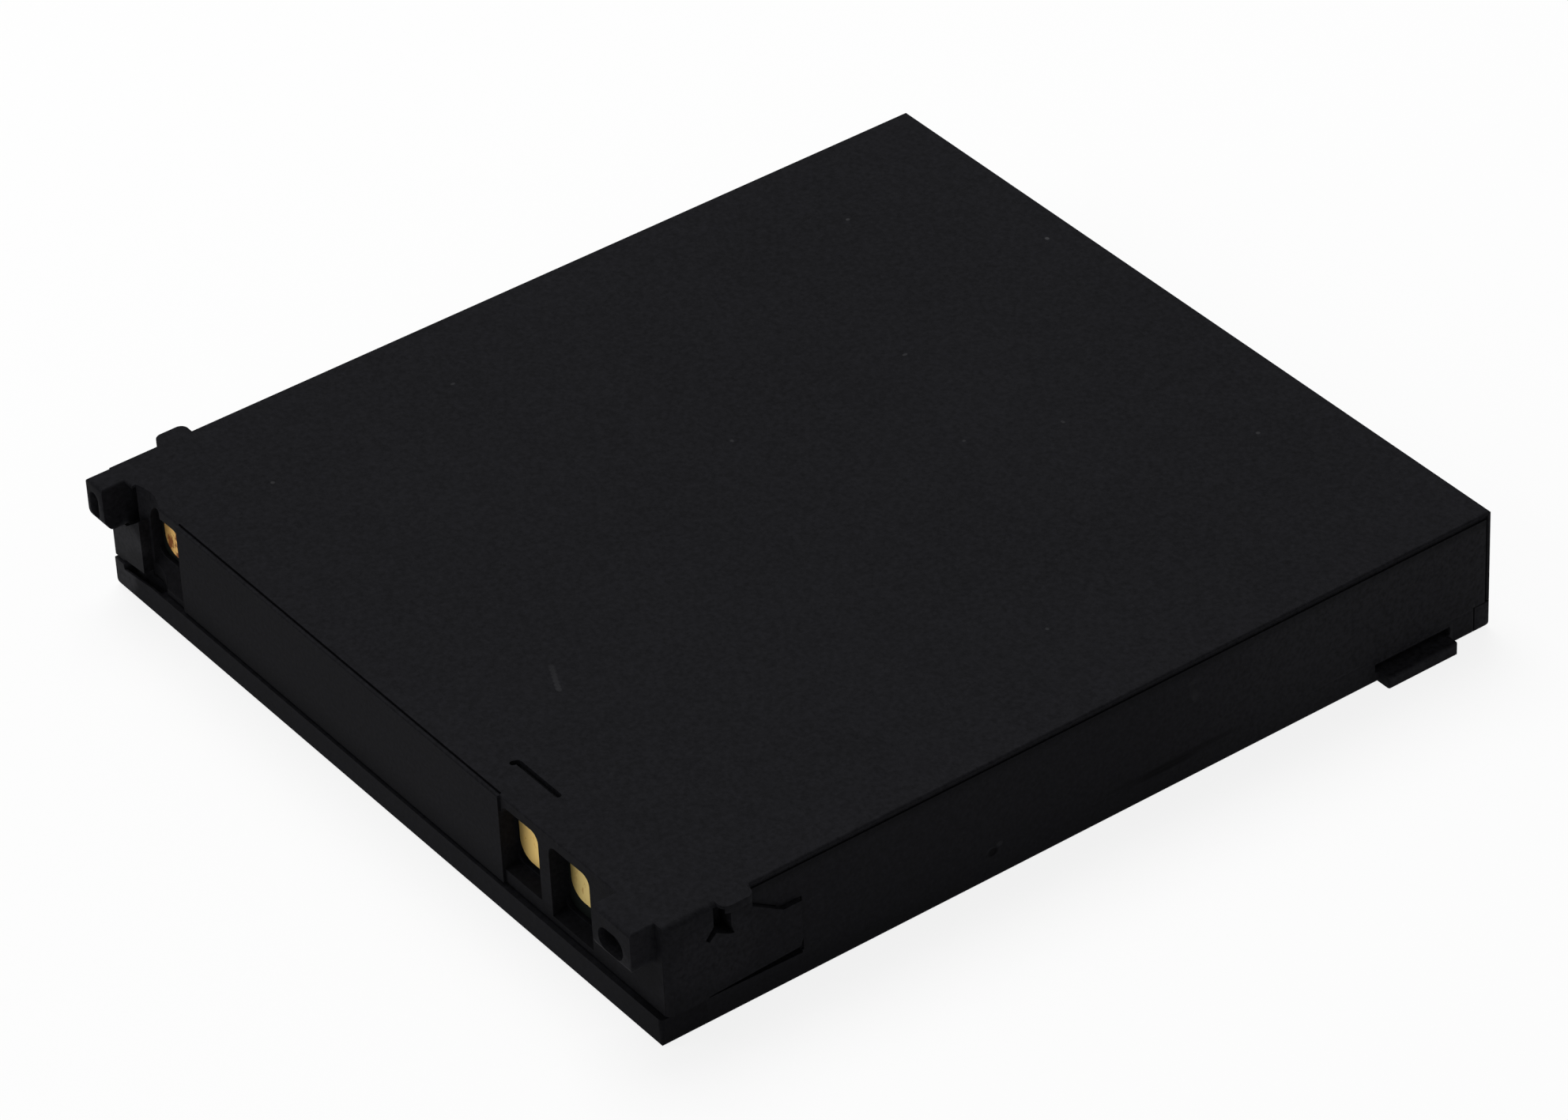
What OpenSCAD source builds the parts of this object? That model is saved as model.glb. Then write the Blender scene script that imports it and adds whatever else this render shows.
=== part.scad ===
// Clip-in battery pack for a mobile phone.
// A moulded frame and tray hold one flat cell and its protection board, and a
// thin film covers the base and the long sides.
// X runs along the contact end, Y from the contact end to the tail, Z is up.
// The origin is the middle of the flat base.

/* [Pack] */
// Width between the two long sides
pack_w = 38.1; // [36:0.1:44]
// Length from the tray's contact end to the tail
pack_l = 41; // [38:0.5:56]
// Thickness of the whole pack
pack_t = 5.7; // [5.4:0.1:6.6]
// Radius along the two long top edges
long_edge_r = 0.1; // [0.05:0.01:0.12]
// Radius of the top edge at the tail
tail_edge_r = 0.15; // [0.1:0.05:0.35]
// Radius of the upright corners at the tail
tail_corner_r = 0.1; // [0.05:0.05:0.4]

/* [Frame] */
// Thickness of the rails along both sides of the cell
side_wall = 1.35; // [1.2:0.05:1.6]
// Thickness of the tail wall
tail_wall = 1; // [0.8:0.05:1.4]
// Thickness of the top over the cell
top_t = 0.35; // [0.3:0.05:0.5]
// Setback of the contact wall behind the tray's end
front_set = 0.22; // [0.15:0.01:0.26]
// Thickness of the contact wall
front_wall = 0.85; // [0.8:0.05:1]
// Thickness of the roof over the circuit board
roof_t = 0.55; // [0.45:0.05:0.7]
// Depth of the board chamber, from the contact wall to the cell
chamber_l = 2.88; // [2.8:0.02:3.2]
// Radius of the frame's upright left corner at the contact end
post_r = 0.05; // [0.02:0.01:0.2]
// Width of the post below the left ear
post_w = 2.2; // [1.9:0.05:2.2]
// Distance that the post stands out from the contact wall
post_proud = 0.14; // [0.08:0.01:0.15]
// Height of the groove between frame and tray
seam_h = 0.12; // [0.08:0.01:0.2]
// Depth of that groove
seam_d = 0.3; // [0.15:0.05:0.35]
// Thickness of the lip along the two long top edges
lip_t = 0.13; // [0.13:0.01:0.2]
// Height of the shadow groove below that lip
groove_h = 0.18; // [0.1:0.01:0.22]
// Depth of the shadow groove
groove_d = 0.07; // [0.05:0.01:0.15]

/* [Middle panel] */
// Distance that the panel stands out from the contact wall
panel_proud = 0.12; // [0.08:0.01:0.15]
// Distance from the top to the panel's upper edge
panel_drop = 0.05; // [0.02:0.01:0.12]
// Width of the groove in the top behind the panel
panel_groove_w = 0.08; // [0.06:0.01:0.15]
// Depth of that groove
panel_groove_d = 0.2; // [0.1:0.05:0.3]

/* [Slot in the top] */
// Distance from the tray's end to the slot
slot_y = 1.9; // [1.7:0.05:2.3]
// Length of the slot
slot_l = 2.85; // [2:0.05:3.5]
// Width of the slot
slot_w = 0.27; // [0.15:0.01:0.3]
// Distance from the slot to the right side
slot_right = 8.77; // [8:0.01:10]
// Depth of the slot
slot_d = 0.3; // [0.15:0.05:0.35]

/* [Contact windows] */
// Width of the left window
left_window_w = 2.8; // [2.5:0.05:3]
// Width of the middle window
window_w = 2.45; // [2:0.05:2.5]
// Width of the right window
right_window_w = 2.65; // [2.5:0.05:2.9]
// Thickness of the wall between the middle window and the right window
window_rib = 0.7; // [0.5:0.05:0.8]
// Distance from the right window to the right side
window_right = 4.6; // [4.4:0.05:4.8]
// Distance from the left side to the left window
left_window_x = 2.35; // [2.2:0.05:2.5]
// Height of the lintel above the windows
lintel_h = 0.5; // [0.4:0.05:0.8]
// Height of the left window
left_window_h = 2.75; // [2.4:0.05:2.9]
// Height of the middle window
window_h = 2.95; // [2.7:0.05:3]
// Height of the right window
right_window_h = 3.3; // [3:0.05:3.35]
// Corner radius of every window
window_r = 0.45; // [0.2:0.05:0.6]
// Upper left corner radius of the left window
left_window_r = 0.95; // [0.6:0.05:1]
// Drop of the sloping sill below the left contact
left_sill_drop = 0.75; // [0.4:0.05:0.8]
// Drop of the sills below the two right contacts
sill_drop = 0.2; // [0.1:0.05:0.3]

/* [Ears] */
// Reach of the left ear beyond the tray's end
left_ear_out = 0.9; // [0.5:0.05:1]
// Width of the left ear
left_ear_w = 1.2; // [0.9:0.05:1.3]
// Height of the left ear
left_ear_h = 2.25; // [2:0.05:2.6]
// Reach of the right ear beyond the tray's end
right_ear_out = 0.93; // [0.5:0.01:1.1]
// Width of the right ear
right_ear_w = 2.45; // [2:0.05:2.6]
// Height of the right ear
right_ear_h = 2.05; // [1.8:0.05:2.4]
// Distance from the right ear to the right side
right_ear_in = 0.35; // [0.3:0.05:0.6]
// Depth of the blind pocket in each ear
ear_pocket_d = 0.6; // [0.3:0.05:0.7]
// Width of the deep pocket beside the left ear
side_pocket_w = 0.55; // [0.4:0.05:0.7]

/* [Nubs and wing] */
// Distance from the tray's end to the nubs
nub_y = 2.7; // [2.3:0.1:3]
// Length of the nubs along the sides
nub_l = 1.5; // [1.2:0.1:1.6]
// Reach of the nubs beyond the sides
nub_out = 0.6; // [0.4:0.05:0.8]
// Thickness of the nubs
nub_t = 0.35; // [0.3:0.05:0.6]
// Height of the wing above the right side
wing_out = 0.2; // [0.1:0.02:0.25]
// Distance from the tray's end to the tip of the wing's tongue
wing_l = 6.55; // [6.4:0.05:8]
// Distance from the tray's end to the wing's shoulder
wing_shoulder = 4.3; // [4.3:0.05:5]
// Drop of the wing's edge at the shoulder
wing_drop = 0.95; // [0.8:0.05:1.2]
// Height of the wing's tongue above the base
wing_tongue_h = 3.85; // [3.4:0.05:4]
// Height of the gap between the wing and the film below it
wing_gap = 0.4; // [0.25:0.05:0.5]
// Radius along the wing's top edge
wing_r = 0.26; // [0.12:0.02:0.28]

/* [Tray] */
// Height of the tray's rim
rim_h = 1.3; // [1.1:0.05:1.5]
// Thickness of the tray's floor
floor_t = 0.4; // [0.35:0.05:0.5]
// Thickness of the rim
rim_w = 1; // [0.95:0.05:1.1]
// Radius of the tray's left corner at the contact end
tray_corner_r = 0.05; // [0.02:0.01:0.2]
// Radius of the tray's lower edge on the left side and the tail
tray_edge_r = 0.4; // [0.2:0.05:0.5]
// Length of the latch tab
tab_l = 3.6; // [3:0.1:5]
// Distance from the latch tab to the tail
tab_tail = 2.2; // [1.8:0.1:4]
// Reach of the latch tab beyond the right side
tab_out = 0.65; // [0.4:0.05:0.9]
// Thickness of the latch tab
tab_t = 0.55; // [0.4:0.05:0.6]

/* [Film] */
// Thickness of the film
film_t = 0.1; // [0.05:0.01:0.15]
// Distance from the tray's end to the film's edge below the wing
film_tongue = 2.1; // [1.9:0.05:3]
// Length of the tray corner that the film leaves bare at the tail
film_tail = 0.8; // [0.5:0.05:1.2]
// Gap between the film and the latch tab
tab_gap = 0.25; // [0.1:0.05:0.4]
// Gap between the film and the edges of its recess
edge_gap = 0.07; // [0.04:0.01:0.1]

/* [Cell] */
// Clearance between the cell and the rails
cell_clear = 0.1; // [0.05:0.01:0.2]
// Radius of the can's long edges
cell_r = 1.2; // [0.8:0.1:2]
// Thickness of the can's wall round the lid
can_wall = 0.3; // [0.2:0.05:0.4]
// Thickness of the lid plate
lid_t = 0.8; // [0.6:0.05:1]
// Thickness of the tape under the cell
floor_tape_t = 0.1; // [0.05:0.01:0.15]
// Thickness of the sheet on top of the cell
sheet_t = 0.15; // [0.1:0.01:0.2]
// Thickness of the foam behind the cell
foam_t = 0.3; // [0.2:0.05:0.5]
// Radius of the rivet's shank
rivet_r = 0.55; // [0.4:0.05:0.7]

/* [Board] */
// Thickness of the circuit board
board_t = 0.6; // [0.5:0.05:0.7]
// Thickness of the contacts on the board
contact_t = 0.2; // [0.15:0.01:0.3]
// Clearance round the board and its contacts
board_clear = 0.05; // [0.02:0.01:0.1]
// Thickness of the nickel strips
strip_t = 0.1; // [0.08:0.01:0.15]
// Height of the nickel strips
strip_h = 2; // [1.5:0.1:2.4]
// Thickness of the thermal cut-out
cutout_t = 0.35; // [0.3:0.05:0.4]

/* [Hidden] */
$fn = 48;

// A length that only makes cuts run clean through
over = 0.5;

// Places along the pack, measured from the tray's contact end
board_y = front_set + front_wall;
contact_y = board_y - contact_t;
board_back = board_y + board_t;
cell_y = board_y + chamber_l;
cell_end = pack_l - tail_wall - foam_t;
film_back = pack_l - max(tail_edge_r, tail_corner_r) - 0.05;
tab_y = pack_l - tab_tail - tab_l;
wing_slope_y = wing_l - 0.85;

// Heights above the base
cell_z = floor_t + floor_tape_t;
cell_top = pack_t - top_t - sheet_t;
cell_h = cell_top - cell_z;
cell_mid = cell_z + cell_h / 2;
roof_z = pack_t - roof_t;
film_top = pack_t - lip_t - groove_h;
panel_top = pack_t - panel_drop;
window_top = pack_t - lintel_h;
board_z = 1;
board_top = roof_z - board_clear;

// Places across the pack, measured from the left side
cell_x = side_wall + cell_clear;
cell_w = pack_w - 2 * cell_x;
board_x = side_wall + 0.55;
board_w = pack_w - 2 * board_x;
right_window_x = pack_w - window_right - right_window_w;
rivet_x = pack_w / 2;
window_xs = [left_window_x, right_window_x - window_rib - window_w, right_window_x];
window_ws = [left_window_w, window_w, right_window_w];
window_zs = [window_top - left_window_h, window_top - window_h, window_top - right_window_h];
sill_drops = [left_sill_drop, sill_drop, sill_drop];
panel_x = left_window_x + left_window_w;
panel_w = window_xs[1] - panel_x;
right_ear_x = pack_w - right_ear_in - right_ear_w;

// Small radii and parts that stay the same on every size of pack
front_edge_r = 0.09;
ear_edge_r = 0.15;
tray_side_r = 0.2;
scoop_r = 2.1;
scoop_d = 0.36;
ring_h = 0.25;
ring_w = 0.2;
ring_x = 0.55;
ring_y = front_set + max(seam_d, scoop_d) + 0.13;
ring_tail = 0.45;
pad_insets = [0.55, 0.2, 0.45];
pad_drops = [2.25, 2.6, 2.4];
rib_w = 0.6;
rib_y = 0.8;
seat_l = 3;
gasket_t = 0.3;
gasket_l = 4.4;
gasket_w = 2.4;
head_l = 3.2;
head_w = 1.7;
rivet_head_t = 0.3;
insulator_t = 0.15;
sleeve_r = rivet_r + 0.25;
plug_r = 0.45;
plug_x = pack_w - 9;
vent_x = pack_w - cell_x - 3.2;
weld_x = cell_x + 4.5;
weld_w = 3;

// Places of the nickel strips, the cut-out and the chips
strip_y = cell_y - gasket_t - rivet_head_t;
strip_z = cell_mid - strip_h / 2;
cutout_w = 4;
strip_reach = 0.9;
cutout_x = window_xs[1] - 0.55 - strip_reach - cutout_w;
cutout_front = strip_y - strip_t - cutout_t;
chip_z = (board_z + board_top) / 2;

// Helpers

// Moves sizes measured from the left front corner into the pack's own frame
module from_corner() {
    translate([-pack_w / 2, -pack_l / 2, 0]) children();
}

// Extrudes an outline drawn as X and Z along the pack
module along_y(y0, length) {
    translate([0, y0 + length, 0])
        rotate([90, 0, 0])
            linear_extrude(length) children();
}

// Extrudes an outline drawn as Y and Z across the pack
module along_x(x0, length) {
    translate([x0, 0, 0])
        rotate([90, 0, 90])
            linear_extrude(length) children();
}

// Rectangle with its own radius at each corner:
// lower left, lower right, upper right, upper left
module soft_rect(x0, y0, x1, y1, radii) {
    corners = [[x0, y0, 1, 1], [x1, y0, -1, 1], [x1, y1, -1, -1], [x0, y1, 1, -1]];
    difference() {
        translate([x0, y0]) square([x1 - x0, y1 - y0]);
        for (i = [0 : 3]) {
            if (radii[i] > 0) corner_cut(corners[i], radii[i]);
        }
    }
}

// What a rounded corner takes off a square one
module corner_cut(corner, r) {
    difference() {
        translate([corner[0] + corner[2] * (r - over) / 2, corner[1] + corner[3] * (r - over) / 2])
            square(r + over, center = true);
        translate([corner[0] + corner[2] * r, corner[1] + corner[3] * r]) circle(r);
    }
}

// Slot with round ends, centred, long along X
module round_slot(length, width) {
    square([length - width, width], center = true);
    for (side = [-1, 1]) {
        translate([side * (length - width) / 2, 0]) circle(width / 2);
    }
}

// Film, as it lies on the frame and the tray

// Outline of the film's side panels, cut out round the wing and the tail.
// The gap lies between the film and the edges of its recess
module film_side_outline(gap) {
    tail = pack_l - film_tail - gap;
    tip = wing_l + edge_gap + gap;
    fine = gap / 2;
    polygon([[film_tongue, -2 * over], [tail, -2 * over], [tail, rim_h],
        [film_back - gap, rim_h], [film_back - gap, pack_t],
        [wing_shoulder + fine, pack_t], [wing_shoulder + fine, pack_t - wing_drop + fine],
        [wing_slope_y + fine, wing_tongue_h + fine], [tip, wing_tongue_h + fine],
        [tip, rim_h], [film_tongue, rim_h]]);
}

// Section of the film: both sides and the base. For the recess that it lies in,
// it reaches out past the part
module film_section(out) {
    difference() {
        if (out > 0) {
            translate([-out, -out]) square([pack_w + 2 * out, film_top + out]);
        } else {
            soft_rect(0, 0, pack_w, film_top, [tray_edge_r, tray_side_r, 0, 0]);
        }
        soft_rect(film_t, film_t, pack_w - film_t, film_top + over,
            [tray_edge_r - film_t, tray_side_r - film_t, 0, 0]);
    }
}

module film_skin(out) {
    difference() {
        intersection() {
            along_y(0, pack_l) film_section(out);
            along_x(-2 * over, pack_w + 4 * over)
                film_side_outline(out > 0 ? 0 : edge_gap);
        }
        tab_opening();
        shoulder_pit();
        wing_gap_cut();
    }
}

// Opening in the film round the latch tab
module tab_opening() {
    translate([pack_w - rim_w - tab_gap, tab_y - tab_gap, -3 * over])
        cube([rim_w + tab_gap + 3 * over, tab_l + 2 * tab_gap, 3 * over + tab_t + 0.5]);
}

// Small pit at the foot of the wing's slope
module shoulder_pit() {
    translate([pack_w - 0.35, wing_slope_y - 0.2, wing_tongue_h + 0.05]) cube([over + 0.35, 0.45, 0.3]);
}

module wrap_film() {
    color("#1b1b1d") from_corner() film_skin(0);
}

// Upper frame

module frame_block() {
    intersection() {
        along_y(front_set, pack_l - front_set)
            soft_rect(0, rim_h, pack_w, pack_t, [0, 0, long_edge_r, long_edge_r]);
        along_x(-over, pack_w + 2 * over)
            soft_rect(front_set, rim_h, pack_l, pack_t, [0, 0, tail_edge_r, front_edge_r]);
        linear_extrude(pack_t + over)
            soft_rect(0, front_set, pack_w, pack_l, [post_r, 0, tail_corner_r, tail_corner_r]);
    }
}
// Raised panel between the left and the right contacts
module middle_panel() {
    along_x(panel_x, panel_w)
        soft_rect(front_set - panel_proud, rim_h + seam_h, front_set + over, panel_top,
            [0, 0, 0, panel_proud * 0.6]);
}

// Groove in the top behind the panel
module panel_groove() {
    translate([panel_x, front_set + 0.03, pack_t - panel_groove_d])
        cube([panel_w, panel_groove_w, panel_groove_d + over]);
}

// Shadow groove below the lip of both long top edges
module edge_groove() {
    for (x = [-over, pack_w - groove_d]) {
        translate([x, wing_shoulder, film_top])
            cube([groove_d + over, film_back - wing_shoulder, groove_h]);
    }
}

// Post below the left ear; beside the ear its top slopes up to the scoop
module post() {
    low = rim_h + seam_h;
    ear_z = pack_t - left_ear_h + 0.02;
    along_y(front_set - post_proud, post_proud + 0.4)
        polygon([[0, low], [post_w, low], [post_w, ear_z + 0.75], [left_ear_w, ear_z], [0, ear_z]]);
}

// Ear with round lower edges; the toe is the radius of its lower front edge
module ear(x0, width, reach, height, radii, toe) {
    root = front_set + over;
    intersection() {
        along_y(-reach, reach + root)
            soft_rect(x0, pack_t - height, x0 + width, pack_t, radii);
        along_x(x0 - over, width + 2 * over)
            soft_rect(-reach, pack_t - height, root, pack_t, [toe, 0, 0, ear_edge_r]);
    }
}

module ear_pocket(x, z, reach, length, width, turn) {
    translate([x, -reach + ear_pocket_d, z])
        rotate([90, 0, 0])
            linear_extrude(ear_pocket_d + over)
                rotate(turn) round_slot(length, width);
}

module left_ear() {
    ear(0, left_ear_w, left_ear_out, left_ear_h, [0.6, 0.3, 0.1, 0.2], 0.8);
}

module right_ear() {
    ear(right_ear_x, right_ear_w, right_ear_out, right_ear_h, [0.5, 0.5, 0.1, 0.1], 0.45);
}

// Thin nub at the top of a long side
module nub(x0, side) {
    translate([0, 0, pack_t - nub_t])
        linear_extrude(nub_t)
            translate([x0, 0]) mirror([side < 0 ? 1 : 0, 0])
                soft_rect(-side_wall / 2, nub_y, nub_out, nub_y + nub_l, [0, 0.4, 0.35, 0]);
}

// Wing on the right side; behind its shoulder it slopes down to a tongue
module wing() {
    low = rim_h + seam_h;
    intersection() {
        along_x(pack_w - over, over + wing_out)
            polygon([[front_set, low], [wing_l - 0.35, low], [wing_l - 0.1, rim_h + wing_gap + 0.1],
                [wing_l, rim_h + wing_gap + 0.35], [wing_l, wing_tongue_h],
                [wing_slope_y, wing_tongue_h], [wing_shoulder, pack_t - wing_drop],
                [wing_shoulder, pack_t], [front_set, pack_t]]);
        along_y(0, wing_l + over)
            soft_rect(pack_w - over, rim_h, pack_w + wing_out, pack_t, [0, 0, wing_r, 0]);
        linear_extrude(pack_t)
            soft_rect(pack_w - over, front_set, pack_w + wing_out, wing_l + over, [0, 0.3, 0, 0]);
    }
}

// Window through the contact wall, with its sloping sill
module window(i) {
    x0 = window_xs[i];
    z0 = window_zs[i];
    r = window_r;
    along_y(-over, board_y + 2 * over)
        soft_rect(x0, z0, x0 + window_ws[i], window_top, [r, r, r, i == 0 ? left_window_r : r]);
    along_x(x0, window_ws[i])
        polygon([[-over, z0 - sill_drops[i]], [front_set, z0 - sill_drops[i]],
            [contact_y, z0 - 0.05], [contact_y, z0 + r], [-over, z0 + r]]);
}

// Scoop in the contact wall between the left ear and the left window, and the
// deep pocket between it and the ear
module scoop() {
    x1 = left_ear_w + side_pocket_w;
    translate([0, 0, rim_h + seam_h])
        linear_extrude(pack_t)
            intersection() {
                translate([left_ear_w + 1.35, front_set + scoop_d - scoop_r]) circle(scoop_r);
                translate([x1 - 0.02, -2]) square([left_window_x + 1.8 - x1, 4]);
            }
    translate([left_ear_w - 0.02, -over, pack_t - left_ear_h + 0.1])
        cube([side_pocket_w, over + front_set + 0.5, left_ear_h - 0.22]);
}

// Slot in the top with a short hooked end
module top_slot() {
    translate([pack_w - slot_right - slot_l, slot_y, pack_t - slot_d])
        linear_extrude(slot_d + over) {
            translate([slot_l / 2, 0]) round_slot(slot_l, slot_w);
            translate([0.02, -0.1]) rotate(70) round_slot(0.45, slot_w);
        }
}

// Forked pocket beside the right nub, drawn from the nub's front end at the top
module wing_pocket() {
    translate([0, nub_y, pack_t])
        along_x(pack_w - 0.6, over + 0.6)
            polygon([[-0.2, -0.15], [0.6, -0.15], [0.6, -1.35], [0.72, -1.75], [0.5, -1.7],
                [0.15, -1.5], [-0.1, -1.35], [-0.43, -1.65], [-0.6, -1.5], [-0.2, -1]]);
}

// Groove between the frame and the tray along the contact end, and a fine one
// round the tail
module seam_groove() {
    translate([-over, -over, rim_h - over])
        cube([pack_w + 2 * over, over + front_set + seam_d, over + seam_h]);
    difference() {
        translate([-over, pack_l - film_tail, rim_h - over])
            cube([pack_w + 2 * over, film_tail + over, over + 0.06]);
        translate([0.13, 0, 0]) cube([pack_w - 0.26, pack_l - 0.1, pack_t]);
    }
}

// Gap below the wing, which widens towards the tongue's tip
module wing_gap_cut() {
    tip = wing_l + edge_gap;
    along_x(pack_w - seam_d, seam_d + over)
        polygon([[film_tongue, rim_h - 0.03], [tip, rim_h - 0.14], [tip, rim_h + wing_gap],
            [film_tongue, rim_h + wing_gap / 2]]);
}

// Wedge-shaped gap that opens the seam towards the left corner
module seam_wedge() {
    along_y(-over, over + front_set + seam_d)
        polygon([[0.72, rim_h - 0.25], [0.66, rim_h + 0.2], [2.4, rim_h + 0.36],
            [4, rim_h + 0.1], [4, rim_h - 0.01], [2.8, rim_h - 0.01]]);
}

// Deeper channel in the rim behind that gap
module seam_channel() {
    along_y(0.1, front_set + seam_d - 0.1)
        polygon([[0.72, rim_h - 0.65], [3.4, rim_h - 0.3], [3.4, rim_h + 0.1], [0.72, rim_h + 0.1]]);
}

// Ring-shaped outline inside the wall, for the welded joint
module joint_ring(clear) {
    near = clear;
    far = ring_w + clear;
    difference() {
        soft_rect(ring_x - near, ring_y - near, pack_w - ring_x + near,
            pack_l - ring_tail + near, [0.6, 0.3, 0.2, 0.2]);
        soft_rect(ring_x + far, ring_y + far, pack_w - ring_x - far,
            pack_l - ring_tail - far, [0.4, 0.1, 0.1, 0.1]);
    }
}

module upper_frame() {
    color("#1e1e20") from_corner() difference() {
        union() {
            difference() {
                union() {
                    frame_block();
                    middle_panel();
                    wing();
                }
                scoop();
            }
            post();
            left_ear();
            right_ear();
            nub(pack_w, 1);
            nub(0, -1);
        }
        film_skin(over);
        edge_groove();
        panel_groove();
        // Bay for the cell, and the chamber for the board
        translate([side_wall, cell_y, 0])
            cube([pack_w - 2 * side_wall, pack_l - tail_wall - cell_y, pack_t - top_t]);
        difference() {
            translate([side_wall, board_y, 0])
                cube([pack_w - 2 * side_wall, cell_y - board_y + over, roof_z]);
            board_ribs();
        }
        for (i = [0 : 2]) {
            window(i);
        }
        ear_pocket(left_ear_w * 0.42, pack_t - 1.1, left_ear_out, 1.25, 0.65, 90);
        ear_pocket(right_ear_x + right_ear_w * 0.47, pack_t - 1.2, right_ear_out, 1.6, 1.1, 0);
        top_slot();
        wing_pocket();
        seam_groove();
        wing_gap_cut();
        seam_wedge();
        translate([0, 0, rim_h - over])
            linear_extrude(over + ring_h + board_clear) joint_ring(board_clear);
    }
}

// Ribs that press the board against the contact wall
module board_ribs() {
    for (x = [board_x + 2 * rib_w, pack_w - board_x - 3 * rib_w]) {
        translate([x, board_back, board_top - 1]) cube([rib_w, rib_y, 1 + over]);
    }
}

// Bottom tray

module tray_block() {
    intersection() {
        along_y(0, pack_l)
            soft_rect(0, 0, pack_w, rim_h, [tray_edge_r, tray_side_r, 0, 0]);
        along_x(-over, pack_w + 2 * over)
            soft_rect(0, 0, pack_l, rim_h, [0.15, tray_edge_r, 0, 0]);
        linear_extrude(rim_h)
            soft_rect(0, 0, pack_w, pack_l, [tray_corner_r, 0.2, tail_corner_r, tail_corner_r]);
    }
}

module latch_tab() {
    intersection() {
        along_y(tab_y, tab_l)
            soft_rect(pack_w - rim_w, 0, pack_w + tab_out, tab_t, [0, 0.08, 0.12, 0]);
        linear_extrude(tab_t)
            soft_rect(pack_w - rim_w, tab_y, pack_w + tab_out, tab_y + tab_l, [0, 0.15, 0.15, 0]);
    }
}

// Seats that carry the lower edge of the board
module board_seats() {
    for (x = [board_x + seat_l / 2, rivet_x - seat_l / 2, pack_w - board_x - 1.5 * seat_l]) {
        translate([x, board_y - 0.1, floor_t - 0.1])
            cube([seat_l, board_t + 0.3, board_z - floor_t + 0.1]);
    }
}

module bottom_tray() {
    color("#202022") from_corner() {
        difference() {
            tray_block();
            translate([0, 0, floor_t]) linear_extrude(rim_h)
                soft_rect(rim_w, rim_w, pack_w - rim_w, pack_l - rim_w, [0.6, 0.3, 0.3, 0.3]);
            film_skin(over);
            wing_gap_cut();
            seam_wedge();
            seam_channel();
            // Recess above the latch tab
            translate([pack_w - 0.35, tab_y - 0.22, tab_t])
                cube([over, tab_l + 0.32, 0.4]);
        }
        latch_tab();
        board_seats();
        translate([0, 0, rim_h - 0.05]) linear_extrude(ring_h + 0.05) joint_ring(0);
    }
}

// Contacts

// Each pad leaves a strip of the board bare on its left
module contact(i) {
    x0 = window_xs[i] + pad_insets[i];
    along_y(contact_y, contact_t)
        soft_rect(x0, window_top - pad_drops[i], window_xs[i] + window_ws[i] - board_clear,
            window_top - board_clear, [0.8, 0.3, 0.3, 0.3]);
}

module contact_negative() {
    color("#c9a75c") from_corner() contact(0);
}

module contact_thermistor() {
    color("#c9a75c") from_corner() contact(1);
}

module contact_positive() {
    color("#c9a75c") from_corner() contact(2);
}

// Cell

module can_outline(inset) {
    r = cell_r - inset;
    soft_rect(cell_x + inset, cell_z + inset, cell_x + cell_w - inset, cell_top - inset, [r, r, r, r]);
}

module cell_can() {
    color("#b9bcc0") from_corner() difference() {
        along_y(cell_y, cell_end - cell_y) can_outline(0);
        along_y(cell_y - over, over + lid_t) can_outline(can_wall);
    }
}

// Moves a part that stands on the lid to its place, facing the contact end
module on_lid(x) {
    translate([x, cell_y, cell_mid]) rotate([90, 0, 0]) children();
}

module cell_lid() {
    color("#c4c7ca") from_corner() difference() {
        along_y(cell_y, lid_t) can_outline(can_wall);
        on_lid(rivet_x) translate([0, 0, -lid_t - over]) cylinder(r = sleeve_r, h = lid_t + 2 * over);
        on_lid(plug_x) translate([0, 0, -lid_t - over]) cylinder(r = plug_r, h = lid_t + 2 * over);
        // Vent groove
        on_lid(vent_x) translate([0, 0, -0.25]) linear_extrude(over) difference() {
            round_slot(2.8, 1.6);
            round_slot(2.4, 1.2);
        }
    }
}

module fill_plug() {
    color("#a8abb0") from_corner() on_lid(plug_x) {
        translate([0, 0, -lid_t]) cylinder(r = plug_r, h = lid_t);
        cylinder(r = plug_r + 0.2, h = 0.12);
    }
}

module terminal_gasket() {
    color("#e8e6df") from_corner() on_lid(rivet_x) difference() {
        union() {
            linear_extrude(gasket_t) round_slot(gasket_l, gasket_w);
            translate([0, 0, -lid_t]) cylinder(r = sleeve_r, h = lid_t);
        }
        translate([0, 0, -lid_t - over]) cylinder(r = rivet_r, h = lid_t + 2 * over + gasket_t);
    }
}

module terminal_rivet() {
    color("#c9ccd0") from_corner() on_lid(rivet_x) {
        translate([0, 0, -lid_t]) cylinder(r = rivet_r, h = lid_t + gasket_t);
        translate([0, 0, gasket_t]) linear_extrude(rivet_head_t) round_slot(head_l, head_w);
    }
}

module lid_insulator() {
    color("#d9c79a") from_corner() difference() {
        along_y(cell_y - insulator_t, insulator_t) can_outline(0.5);
        on_lid(rivet_x) translate([0, 0, -over])
            linear_extrude(3 * over) round_slot(gasket_l + 0.1, gasket_w + 0.1);
        on_lid(plug_x) translate([0, 0, -over]) cylinder(r = plug_r + 0.25, h = 3 * over);
        on_lid(vent_x) translate([0, 0, -over]) linear_extrude(3 * over) round_slot(3.2, 2);
        translate([weld_x - 0.2, cell_y - over, cell_mid - strip_h / 2 - 0.2])
            cube([weld_w + 0.4, 2 * over, strip_h + 0.4]);
    }
}

module top_sheet() {
    color("#2a2a2c") from_corner()
        translate([cell_x + cell_r, cell_y, cell_top])
            cube([cell_w - 2 * cell_r, cell_end - cell_y, sheet_t]);
}

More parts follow.
